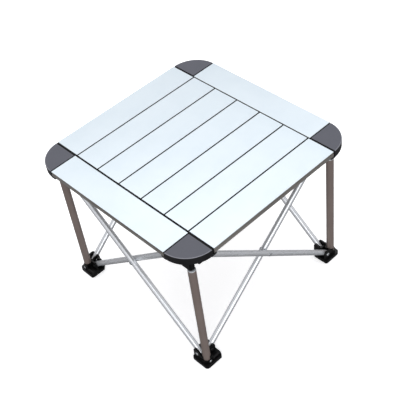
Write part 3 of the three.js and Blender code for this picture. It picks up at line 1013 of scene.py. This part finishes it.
@dataclass
class SideBraces:
    """The two braces of a side and the long rivet where they cross.

    Attributes:
        end: radius of a brace's rounded ends about their pins, and rim of its eased edges.
    """

    layout: Layout
    wall: float = 1.0 * MM
    end: float = 6.6 * MM
    rim: float = 0.2 * MM
    fastener: Fastener = field(default_factory=Fastener)

    def brace(self, length: float) -> Solid:
        """A round tube along X about its middle, its ends rounded about their pins."""
        half = length / 2
        far = half + self.end
        turns = [-QUARTER + math.pi * k / 12 for k in range(13)]
        outline = [(half + self.end * math.cos(t), self.end * math.sin(t)) for t in turns]
        outline += [(-x, -z) for x, z in outline]
        body = Solid.tube(Axis.X, BRACE_RADIUS, self.wall, -far, far, self.rim)
        body.keep(Solid.prism(outline, -DRILL, DRILL, Axis.Y))
        body.cut(*(Solid.bar(Axis.Y, PIN_HOLE, -DRILL, DRILL, (x, 0.0), 24)
                   for x in (-half, 0.0, half)))
        return body

    def build(self) -> None:
        """Builds the brace and the rivet once and places them on every side."""
        foot, top = self.layout.foot_pin, self.layout.top_pin
        run = 2 * (self.layout.leg_axis - self.layout.pin_inboard)
        rise = top.z - foot.z
        level = (top.z + foot.z) / 2
        slope = math.atan2(rise, run)
        step = self.layout.plane_step
        brace = Piece(self.brace(math.hypot(run, rise)), BRACE_BRIGHT, Slot.BRIGHT)
        reach = BRACE_RADIUS + CLEARANCE
        rivet = Piece(self.fastener.solid(-reach, step + reach, Axis.Y, (0.0, 0.0)),
                      RIVET_STEEL, Slot.BRIGHT)
        for index, side in enumerate(SIDES):
            turn = self.layout.side(index)
            outer = turn @ Matrix.Translation((0.0, -self.layout.leg_axis, level))
            inner = turn @ Matrix.Translation((0.0, -self.layout.leg_axis + step, level))
            brace.place(f"brace_outer_{side}", f"outer_brace_{side}",
                        outer @ Matrix.Rotation(slope, 4, "Y"), f"outer_brace_{side}")
            brace.place(f"brace_inner_{side}", f"inner_brace_{side}",
                        inner @ Matrix.Rotation(-slope, 4, "Y"), f"inner_brace_{side}")
            rivet.place(f"crossing_rivet_{side}", f"inner_brace_{side}", outer,
                        f"centre_rivet_{side}")


# ---------------------------------------------------------------- stage


@dataclass(frozen=True)
class Lamp:
    """A square soft light: its power in watts, its size and its place in metres."""

    name: str
    power: float
    size: float
    place: tuple[float, float, float]


@dataclass
class Studio:
    """Pale floor, soft lights and the camera.

    Attributes:
        azimuth: the camera's direction in degrees from -Y, with its elevation and roll.
        distance_in_tops: its distance, in widths of the table top, as are the two aims.
        floor_glow: how brightly the floor shines by itself.
        surround: brightness from straight down, 0, to straight up, 1; cool makes it bluer.
    """

    layout: Layout
    azimuth: float = -38.25
    elevation: float = 44.04
    roll: float = -8.59
    lens: float = 77.49
    distance_in_tops: float = 3.7522
    aim_right_in_tops: float = 0.0384
    aim_down_in_tops: float = 0.2317
    floor_size: float = 14.0
    floor_drop: float = 0.4 * MM
    floor_glow: float = 0.5
    surround: Outline = ((0.0, 0.08), (0.2, 0.2), (0.45, 0.42), (0.6, 0.7), (1.0, 0.75))
    surround_cool: float = 1.03
    surround_strength: float = 0.92
    lamps: tuple[Lamp, ...] = (Lamp("overhead", 27.0, 2.4, (0.35, 0.5, 2.3)),
                               Lamp("fill", 14.0, 1.4, (-1.3, -1.9, 0.9)))

    def floor(self) -> None:
        """A wide pale floor, just under the feet, that throws no light back up at the table."""
        bpy.ops.mesh.primitive_plane_add(size=self.floor_size,
                                         location=(0.0, 0.0, -self.floor_drop))
        plane = bpy.context.object
        plane.name = "floor"
        sheet = NodeSheet("floor_paper")
        clouds = sheet.noise((2.0,) * 3, 2.0, 0.5)
        shade = sheet.blended(sheet.between(clouds, 0.0, 1.0), "fdfdfd", "fbfbfb")
        sheet.surface(Base_Color=shade, Roughness=0.9, Emission_Color=(1.0, 1.0, 1.0, 1.0),
                      Emission_Strength=self.floor_glow)
        plane.data.materials.append(sheet.material)
        plane.visible_diffuse = False
        plane.visible_glossy = False
        plane.visible_shadow = False

    def light(self, lamp: Lamp) -> None:
        """Hangs a lamp, which faces the middle of the table."""
        data = bpy.data.lights.new(lamp.name, "AREA")
        data.energy = lamp.power
        data.size = lamp.size
        made = added(lamp.name, data)
        made.location = lamp.place
        aim = Vector((0.0, 0.0, self.layout.height / 2)) - Vector(lamp.place)
        made.rotation_euler = aim.to_track_quat("-Z", "Y").to_euler()

    def world(self) -> None:
        """A surround that is bright overhead, grey at the horizon and dim below it."""
        world = bpy.data.worlds.new("surround")
        world.use_nodes = True
        nodes, links = world.node_tree.nodes, world.node_tree.links
        place = nodes.new("ShaderNodeTexCoord")
        split = nodes.new("ShaderNodeSeparateXYZ")
        height = nodes.new("ShaderNodeMapRange")
        height.inputs["From Min"].default_value = -1.0
        ramp = nodes.new("ShaderNodeValToRGB")
        stops = ramp.color_ramp.elements
        stops.remove(stops[0])
        for number, (at, shade) in enumerate(self.surround):
            stop = stops[0] if number == 0 else stops.new(at)
            stop.position = at
            stop.color = (shade, shade, shade * self.surround_cool, 1.0)
        sky = nodes["Background"]
        sky.inputs["Strength"].default_value = self.surround_strength
        links.new(place.outputs["Generated"], split.inputs["Vector"])
        links.new(split.outputs["Z"], height.inputs["Value"])
        links.new(height.outputs["Result"], ramp.inputs["Fac"])
        links.new(ramp.outputs["Color"], sky.inputs["Color"])
        bpy.context.scene.world = world

    def camera(self) -> None:
        """The camera, placed by its angles round the middle of the table's top face."""
        width = 2 * self.layout.half_top
        az, el, roll = (math.radians(v) for v in (self.azimuth, self.elevation, self.roll))
        back = Vector((math.sin(az) * math.cos(el), -math.cos(az) * math.cos(el), math.sin(el)))
        level_right = (-back).cross(Vector((0.0, 0.0, 1.0))).normalized()
        level_down = -level_right.cross(-back)
        right = level_right * math.cos(roll) - level_down * math.sin(roll)
        down = level_right * math.sin(roll) + level_down * math.cos(roll)
        place = Vector((0.0, 0.0, self.layout.height)) + back * self.distance_in_tops * width
        place += right * self.aim_right_in_tops * width + down * self.aim_down_in_tops * width
        turn = Matrix((right, -down, back)).transposed().to_4x4()
        data = bpy.data.cameras.new("view")
        data.lens = self.lens
        data.sensor_width = 36.0
        made = added("view", data)
        made.matrix_world = Matrix.Translation(place) @ turn
        bpy.context.scene.camera = made

    def build(self) -> None:
        """Sets the stage."""
        self.floor()
        self.world()
        for lamp in self.lamps:
            self.light(lamp)
        self.camera()
        bpy.context.scene.view_settings.view_transform = "Standard"


def main() -> None:
    """Builds the stage, then every sub-assembly."""
    logging.basicConfig(level=logging.INFO, format="%(message)s")
    layout = Layout.read()
    Studio(layout).build()
    PanelTop(layout).build()
    CornerCap(layout).build()
    CornerUnit(layout).build()
    SideBraces(layout).build()


if __name__ == "__main__":
    main()
